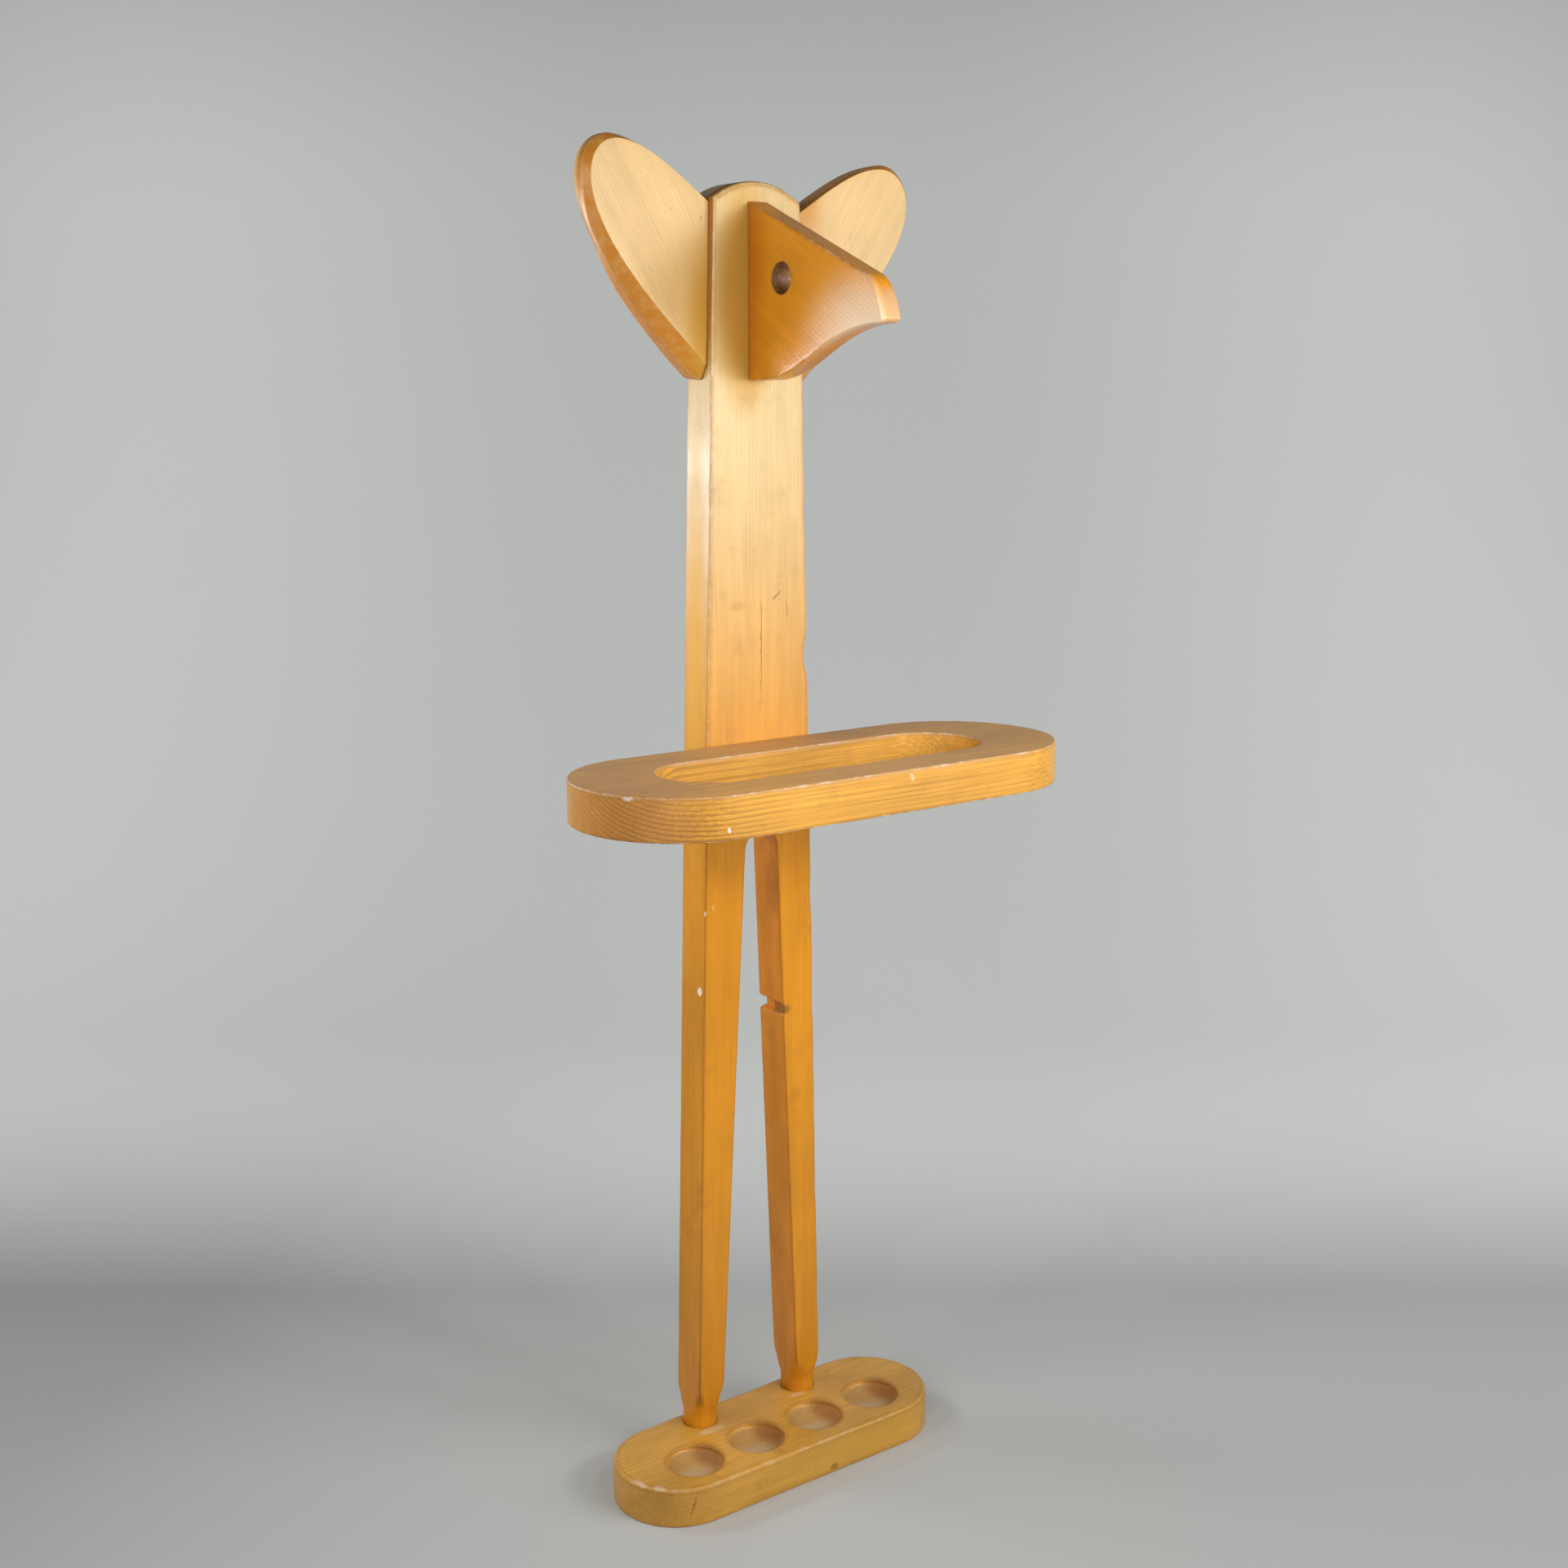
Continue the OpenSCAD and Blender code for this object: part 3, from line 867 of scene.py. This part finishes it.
def worn_edges(g, colour, wear, patches, flank, worn_amount):
    """Colour with deeper varnish and painted shade beside the edges and bare wood on them, and how bare
    they are.
    """
    beside = g.times(g.remap(wear, 0.12, 0.3), g.remap(wear, 0.8, 0.5))
    beside = g.times(beside, g.remap(patches, 0.7, 0.4, 0.6, 1.0), flank[1])
    colour = g.mix(beside, colour, flank[0])
    worn = g.times(g.remap(wear, 0.5, 0.95), g.remap(patches, 0.47, 0.62))
    return g.mix(g.times(worn, worn_amount), colour, BARE_AND_HIGHLIGHT), worn


def add_marks(g, colour, dull, here, marks):
    """Colour with its marks, whose borders are ragged, and how dull the surface is with them."""
    shift = g.add("ShaderNodeTexNoise", {"Vector": here, "Scale": 420.0, "Detail": 3.0}).outputs["Color"]
    away = g.vector("MULTIPLY", g.vector("SUBTRACT", shift, (0.5, 0.5, 0.5)), (RAGGED, RAGGED, RAGGED))
    ragged = g.vector("ADD", here, away)
    for mark_colour, amount, centre, size, turn, soft in marks:
        mask = g.spot(ragged, centre, size, turn, soft)
        colour = g.mix(g.times(mask, amount), colour, mark_colour)
        dull = g.math("MAXIMUM", dull, g.times(mask, amount))
    return colour, dull


def uneven_skin(g, here, fibre, late_band, mottle, chipped):
    """Bump of the varnish: fibres and late wood stand up in it, and chips go into it."""
    height = g.math("ADD", g.times(fibre, 0.35), g.times(late_band, 0.25))
    height = g.math("ADD", height, g.times(g.noise(here, 900), 0.35))
    height = g.math("ADD", height, g.times(mottle, 1.2))
    height = g.math("SUBTRACT", height, chipped)
    return g.add("ShaderNodeBump", {"Height": height, "Strength": 0.35, "Distance": 0.0003}).outputs[0]


def pine(name, early, late, turn, pith, spacing, figure, marks=(), tone_range=(0.86, 1.1),
         fibre_depth=0.1, roughness=0.36, worn_amount=0.5, foot=None, flank=(BROWN, 0.35), mottled=0.35,
         fade=None):
    """Varnished pine, with early and late for the two colours of a growth ring.

    turn brings the grain onto z, pith is the tree's middle in that frame in metres, and spacing
    is the width of a growth ring in mm. figure is how strongly the rings show. fade is the pair
    of x, in metres, between which they grow weak. foot is the early wood's own colour low on the
    piece, if it differs there; the paler early colour higher up is then a painted sheen that
    fades downwards. flank is the colour and strength of deeper varnish and painted shade on
    bevels and beside rounded edges, worn_amount is how bare the edges are, and mottled is how
    brown the clouds in the varnish are.
    marks are (colour, strength, centre, half sizes, turn, softness), with sizes in mm."""
    g = Graph(name)
    here = g.add("ShaderNodeTexCoord").outputs["Object"]
    turned = g.place(here, rotation=turn)
    along, _, height = g.add("ShaderNodeSeparateXYZ", {0: here}).outputs
    late_band = growth_rings(g, turned, pith, spacing)
    strength = g.remap(g.noise(turned, 22), 0.3, 0.7, 0.35, 1.0)
    if fade is not None:
        strength = g.times(strength, g.remap(along, *fade, 1.0, FADED_FIGURE))
    if foot is not None:
        # painted sheen: the pale early colour high up turns into the wood's own colour low down
        early = g.mix(g.remap(height, *SHEEN_FADE), early, foot)
    colour = g.mix(g.times(late_band, strength, figure), early, late)
    fibre = g.noise(g.place(turned, scale=(1, 1, 0.016)), 850, 3.0, 0.65)
    colour = g.mix(1.0, colour, wood_tone(g, turned, fibre, fibre_depth, tone_range), "MULTIPLY")
    mottle = g.noise(here, 55, 5.0, 0.7)
    colour = g.mix(g.remap(mottle, 0.54, 0.8, 0.0, mottled), colour, BROWN)
    pores = g.noise(g.place(turned, scale=(1, 1, 0.12)), 620)
    colour = g.mix(g.times(g.remap(pores, 0.72, 0.80), 0.4), colour, DARK)

    wear = g.add("ShaderNodeAttribute", attribute_name="wear").outputs["Fac"]
    patches = g.noise(here, 120, 4.0, 0.7)
    colour, worn = worn_edges(g, colour, wear, patches, flank, worn_amount)
    colour, dull = add_marks(g, colour, g.times(worn, 0.4), here, marks)

    rough = g.math("ADD", g.remap(mottle, 0.3, 0.7, roughness - 0.03, roughness + 0.05),
                   g.times(dull, 0.35))
    chipped = g.times(g.remap(patches, 0.6, 0.75), wear, 1.5)
    normal = uneven_skin(g, here, fibre, late_band, mottle, chipped)
    return g.surface(Base_Color=colour, Roughness=rough, Normal=normal)


UP = (0, 0, 0)
BESIDE = (0, math.radians(90), 0)
ALONG_WING = {-1: (0, math.radians(32), 0), 1: (0, math.radians(-32), 0)}
ALONG_BEAK = (math.radians(60), 0, 0)

# Some large soft marks aren't dirt or wear: they are painted sheen, painted shade and a painted
# reflection of soft studio light, and stay where they are in the wood's colour. The comment
# above each such mark says which.
board_marks = (
    (BROWN, 0.75, (1.8, 0, 515), (0.45, 1.5, 33), 0, 0.35),
    (DARK, 0.45, (13, 0, 546.5), (4.6, 1.5, 0.8), 42, 0.35),
    (BROWN, 0.25, (-15.4, 0, 542), (6.5, 1.5, 3.2), 4, 0.7),
    (BROWN, 0.30, (21, 0, 538), (1.2, 1.5, 6), 8, 0.5),
    (BARE_AND_HIGHLIGHT, 0.9, (-40.6, 0, 359), (1.2, 1.4, 2.9), 0, 0.2),
    (CHIP, 1.0, (-41.4, 5.2, 310), (1.8, 2.3, 2.7), 12, 0.15),
    (CHIP, 0.3, (-34.5, 0, 362), (0.6, 0.8, 1.8), 0, 0.2),
    # painted light on the board's left side
    (LIT_SIDE_GOLD, 0.75, (-42, 14, 515), (13, 13, 135), 0, 0.8),
    (DARK, 0.45, (-47, 0, 44), (3.4, 4.5, 6.5), 0, 0.5),
    (DARK, 0.40, (-47, 0.6, 60), (0.8, 1.2, 13), 0, 0.4),
    (DARK, 0.40, (23, 1, 47), (3.6, 4.5, 7.5), 6, 0.5),
    (DARK, 0.35, (22.5, 0.6, 68), (0.9, 1.4, 16), 0, 0.4),
    # painted shade inside the nick on the right leg
    (DARK, 0.65, (20, 7, NOTCH_Z), (6.5, 9, 4.6), 0, 0.25),
    (BROWN, 0.45, (14, 6, 366), (3, 9, 22), 0, 0.5),
    # painted shade on the board beside the beak, where no sheen falls
    (SHADE_GOLD, 0.9, (-8, 0, 719), (22, 3.5, 63), 0, 0.5),
    # painted shade on the head's edge bands, beside its front face
    (HEAD_EDGE_SHADE, 0.85, (0, 5, 745), (80, 4.4, 78), 0, 0.15))

base_marks = tuple(
    (CUP_FLOOR, 0.6, (x, y, BASE_T - 6), (21, 21, 5.4), 0, 0.15) for x, y in CUP_PLACES) + tuple(
    # painted shade on the back right wall of each cup
    (BROWN, 0.80, (x + 13, y + 5, BASE_T - 3), (9, 15, 5.5), 0, 0.6) for x, y in CUP_PLACES) + tuple(
    # paler patch on the front left of each cup's floor
    (CUP_FLOOR_PALE, 0.85, (x - 3, y - 3, BASE_T - 8), (13, 9, 4), 0, 0.8) for x, y in CUP_PLACES) + (
    # painted shade on the base's left end
    (BROWN, 0.35, (-96, -44, 12), (34, 24, 22), 0, 0.9),
    # painted light on the right half of the base's front
    (BASE_FRONT_LIGHT, 0.6, (50, -58, 12), (60, 8, 11), 0, 0.9),
    (DARK, 0.5, (-88.5, -53, 12), (0.7, 3, 9), -14, 0.5),
    # painted highlight along the top edge of the base's left end
    (BARE_AND_HIGHLIGHT, 0.55, (-109.8, -29, 24), (2.2, 8, 0.9), 0, 0.6),
    (BARE_AND_HIGHLIGHT, 0.55, (-105, -41, 24), (4.5, 6, 0.9), 0, 0.6),
    (DARK, 0.5, (17, -55, 4), (3.2, 3, 2.4), 10, 0.35),
    (GLUE, 0.75, (-40, -2.5, 24.5), (10.5, 3.4, 2), 0, 0.35),
    (GLUE, 0.6, (31, 1.5, 24.5), (8, 2.2, 2), 0, 0.35))

ring_marks = (
    (RING_END, 0.45, (-150, -85, 448), (46, 50, 30), 0, 0.8),
    # painted reflection of the grey backdrop on the ring's top face
    (RING_TOP_REFLECTION, 0.42, (0, -62, ring_high[2]), (250, 110, 2.2), 0, 0.5),
    (CHIP, 0.75, (-110, -123.5, 441.8), (1.1, 2, 1.7), 0, 0.3),
    (CHIP, 0.7, (-151, -92, 459), (4, 4, 1.2), 0, 0.4),
    (BARE_AND_HIGHLIGHT, 0.4, (14, -124, 456), (1.5, 2, 3), 30, 0.35))
left_wing_marks = (
    # painted shade at the left wing's root, where no sheen falls
    (SHADE_GOLD, 0.9, (-31, 3, 703), (18, 10, 52), 0, 0.6),
    (CHIP, 0.9, (-74.7, 6, 783.2), (0.9, 4, 0.9), 0, 0.3),
    (DARK, 0.5, (-57.4, 6, 765.5), (0.7, 4, 0.7), 0, 0.35),
    (DARK, 0.35, (-36.5, 5, 761), (0.9, 4, 2), -30, 0.35),
    (BROWN, 0.25, (-88, 7, 752), (2, 4, 3), 0, 0.6))
right_wing_marks = (
    # painted shade at the right wing's root
    (WING_ROOT_SHADE, 0.75, (35, 3, 774), (15, 10, 28), 0, 0.8),)
EYE_PLACE = (0, -EYE_OUT, beak_low[2] + EYE_UP)
EYE_STAIN_R = EYE_D / 2 + 0.5
beak_marks = (
    (STAIN, 0.95, EYE_PLACE, (90, EYE_STAIN_R, EYE_STAIN_R), 0, 0.06),
    # painted shade on the beak's root
    (BEAK_ROOT_SHADE, 0.6, (0, 0, 726), (30, 17, 90), 0, 0.9),
    # painted sheen on the beak's tip
    (BEAK_TIP_SHEEN, 0.6, (-6.5, -106, 700), (5, 44, 27), 0, 0.9),
    # painted sheen and shade on the beak's nose
    (NOSE_SHEEN_AND_SHADE, 0.8, (3, -118, 712), (8, 8, 16), 0, 0.5),
    # painted shade on the beak's lower part
    (BROWN, 0.6, (8, -78, 680), (14, 48, 16), 0, 0.5),
    # painted shade on the eye's wall, towards the tip and towards the root
    (DARK, 0.7, (-2, -EYE_OUT - 9, EYE_PLACE[2] + 3), (5, 4, 6), 0, 0.3),
    (DARK, 0.6, (0, -EYE_OUT + 7, EYE_PLACE[2] - 6), (4, 4, 3), 0, 0.3))

board_pine = pine("board_pine", SHEEN_HONEY, HONEY_DARK, UP, (0.35, -0.06, 0), 2.6, 0.10, board_marks,
                  foot=AMBER, flank=(FLANK_VARNISH_AND_SHADE, 0.55), mottled=0.4,
                  roughness=0.33, fibre_depth=0.055)
base_pine = pine("base_pine", BASE_EARLY, BASE_LATE, BESIDE,
                 (0.05, 0.09, 0), 2.8, 0.15, base_marks, tone_range=(0.8, 1.12), worn_amount=0.25)
ring_pine = pine("ring_pine", RING_EARLY, RING_LATE, BESIDE,
                 (-0.515, 0.118, 0), 2.7, 0.95, ring_marks, fibre_depth=0.16, worn_amount=0.75,
                 fade=(-0.11, -0.06))
left_wing_pine = pine("left_wing_pine", SHEEN_PALE_HONEY, HONEY_DARK, ALONG_WING[-1], (0.3, -0.1, 0), 2.4,
                      0.07, left_wing_marks, tone_range=(0.93, 1.06), fibre_depth=0.05,
                      flank=(WING_WALL_VARNISH_AND_SHADE, 0.95), mottled=0.12)
right_wing_pine = pine("right_wing_pine", SHEEN_PALE_HONEY, HONEY_DARK, ALONG_WING[1], (0.3, -0.1, 0), 2.4,
                       0.07, right_wing_marks, tone_range=(0.93, 1.06), fibre_depth=0.05,
                       flank=(WING_WALL_VARNISH_AND_SHADE, 0.95), mottled=0.12)
beak_pine = pine("beak_pine", BEAK_EARLY, BEAK_LATE, ALONG_BEAK,
                 (0.2, 0.1, 0), 2.4, 0.08, beak_marks, fibre_depth=0.05, mottled=0.15, roughness=0.2)


def simple(name, colour, roughness, metallic=0.0):
    """Bare beech or dull steel with a fine uneven surface."""
    g = Graph(name)
    spots = g.noise(g.add("ShaderNodeTexCoord").outputs["Object"], 600, 3.0, 0.6)
    colour = g.mix(1.0, colour, g.grey(g.remap(spots, 0.3, 0.7, 0.8, 1.1)), "MULTIPLY")
    bump = g.add("ShaderNodeBump", {"Height": spots, "Strength": 0.3, "Distance": 0.0002})
    rough = g.remap(spots, 0.2, 0.8, roughness - 0.08, roughness + 0.08)
    return g.surface(Base_Color=colour, Roughness=rough, Metallic=metallic, Normal=bump.outputs[0])


beech = simple("dowel_beech", (0.62, 0.42, 0.22, 1), 0.6)
steel = simple("screw_steel", (0.50, 0.46, 0.38, 1), 0.42, metallic=1.0)

# ---------------------------------------------------------------- assembly

finish_piece(make_board(), board_pine, "post_board")
finish_piece(make_base(), base_pine, "base_plate")
finish_piece(make_ring(), ring_pine, "umbrella_ring")
finish_piece(make_wing_piece("wing_left", -1, 0), left_wing_pine, "left_wing")
finish_piece(make_wing_piece("wing_right", 1, 5), right_wing_pine, "right_wing")
finish_piece(make_beak(), beak_pine, "beak")
for node, material in (("beak_dowels", beech), ("left_wing_dowels", beech),
                       ("right_wing_dowels", beech), ("ring_screws", steel)):
    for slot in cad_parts[node].material_slots:
        slot.material = material

# ---------------------------------------------------------------- studio, in metres

CAMERA_YAW = 37.03
CAMERA_PITCH = -11.26
CAMERA_PLACE = Vector((-0.6950, -0.94605, 0.66753))
CAMERA_LENS = 45.64
FLOOR_FRONT = -1.4
FLOOR_BACK = 0.8
BEND_R = 1.3
BEND_STEPS = 24
WALL_TOP = 3.0
HALF_WIDTH = 2.0
STRIPS = 8
PAPER_GREY = (0.82, 0.84, 0.825, 1)


def paper(name, colour):
    """Backdrop paper, darker with height and paler to its sides, as studio light leaves it."""
    g = Graph(name)
    here = g.add("ShaderNodeTexCoord").outputs["Object"]
    turned = g.place(here, rotation=(0, 0, math.radians(CAMERA_YAW)))
    across, _, height = g.add("ShaderNodeSeparateXYZ", {0: turned}).outputs
    side = g.remap(g.math("ABSOLUTE", across), 0.2, 1.2, 0.74, 1.0)
    high = g.remap(height, 0.9, 1.7, 1.0, 0.66)
    colour = g.mix(1.0, g.grey(g.times(side, high)), colour, "MULTIPLY")
    fibres = g.noise(here, 300, 3.0, 0.6)
    bump = g.add("ShaderNodeBump", {"Height": fibres, "Strength": 0.05, "Distance": 0.0005})
    return g.surface(Base_Color=colour, Roughness=0.9, Specular_IOR_Level=0.1,
                     Normal=bump.outputs[0])


def heading(yaw):
    """Level direction at an angle from +Y towards +X, in degrees."""
    return Vector((math.sin(math.radians(yaw)), math.cos(math.radians(yaw)), 0))


def make_backdrop():
    """Floor that runs up into a wall behind the stand, in one sweep, across the camera's view."""
    ahead, right = heading(CAMERA_YAW), heading(CAMERA_YAW + 90)
    profile = [(FLOOR_FRONT, 0.0), (0.0, 0.0), (FLOOR_BACK, 0.0)]
    for i in range(1, BEND_STEPS + 1):
        turn = math.pi / 2 * i / BEND_STEPS
        profile.append((FLOOR_BACK + BEND_R * math.sin(turn), BEND_R * (1 - math.cos(turn))))
    profile.append((FLOOR_BACK + BEND_R, WALL_TOP))
    bm = bmesh.new()
    rows = []
    for along, z in profile:
        row = []
        for across in np.linspace(-HALF_WIDTH, HALF_WIDTH, STRIPS + 1):
            place = ahead * along + right * float(across)
            row.append(bm.verts.new((place.x, place.y, z)))
        rows.append(row)
    for a, b in zip(rows, rows[1:]):
        for i in range(STRIPS):
            bm.faces.new((a[i], a[i + 1], b[i + 1], b[i])).smooth = True
    mesh = bpy.data.meshes.new("backdrop")
    bm.to_mesh(mesh)
    bm.free()
    backdrop = bpy.data.objects.new("backdrop", mesh)
    bpy.context.scene.collection.objects.link(backdrop)
    mesh.materials.append(paper("grey_paper", PAPER_GREY))


make_backdrop()


def panel(name, place, target, size, radiance):
    """Soft light: a glowing rectangle at a place, turned to a target, hidden from the camera."""
    light = bpy.data.lights.new(name, "AREA")
    light.shape = "RECTANGLE"
    light.size, light.size_y = size
    light.energy = radiance * math.pi * size[0] * size[1]
    lamp = bpy.data.objects.new(name, light)
    lamp.location = place
    lamp.rotation_euler = (Vector(target) - Vector(place)).to_track_quat("-Z", "Y").to_euler()
    lamp.visible_camera = False
    bpy.context.scene.collection.objects.link(lamp)


HEAD = Vector((0, 0, 0.68))
panel("front_right", Vector((0.83, -0.99, 0.71)), HEAD, (0.6, 0.6), 3.7)
panel("front_near", Vector((0, -0.45, 0.68)), HEAD, (0.22, 0.22), 7.0)
panel("front_middle", Vector((0.27, -0.75, 0.67)), HEAD, (0.36, 0.22), 11.5)
panel("front_left", Vector((-0.85, -0.75, 0.62)), Vector((0, 0, 0.5)), (0.6, 0.6), 2.8)
panel("left_rear_low", Vector((-0.36, 0.40, 0.595)), HEAD, (0.26, 0.12), 14.5)
panel("left_rear_middle", Vector((-0.64, 0.62, 0.70)), HEAD, (0.3, 0.25), 2.0)
panel("left_side", Vector((-0.8, 0, 0.8)), HEAD, (0.4, 0.4), 4.0)
WALL_LIGHT = heading(CAMERA_YAW) * 0.3 + Vector((0, 0, 1.0))
WALL_MIDDLE = heading(CAMERA_YAW) * 1.3 + Vector((0, 0, 0.92))
panel("wall_wash", WALL_LIGHT, WALL_MIDDLE, (3.6, 1.3), 1.65)

world = bpy.data.worlds.new("studio")
bpy.context.scene.world = world
world.use_nodes = True
background = world.node_tree.nodes["Background"]
background.inputs["Color"].default_value = (0.98, 1.0, 0.99, 1)
background.inputs["Strength"].default_value = 0.10

camera_data = bpy.data.cameras.new("camera")
camera = bpy.data.objects.new("camera", camera_data)
camera_data.lens = CAMERA_LENS
camera_data.sensor_width = 36
camera.location = CAMERA_PLACE
camera.rotation_euler = (math.radians(90 + CAMERA_PITCH), 0, math.radians(-CAMERA_YAW))
bpy.context.scene.collection.objects.link(camera)
bpy.context.scene.camera = camera
bpy.context.scene.view_settings.view_transform = "Standard"
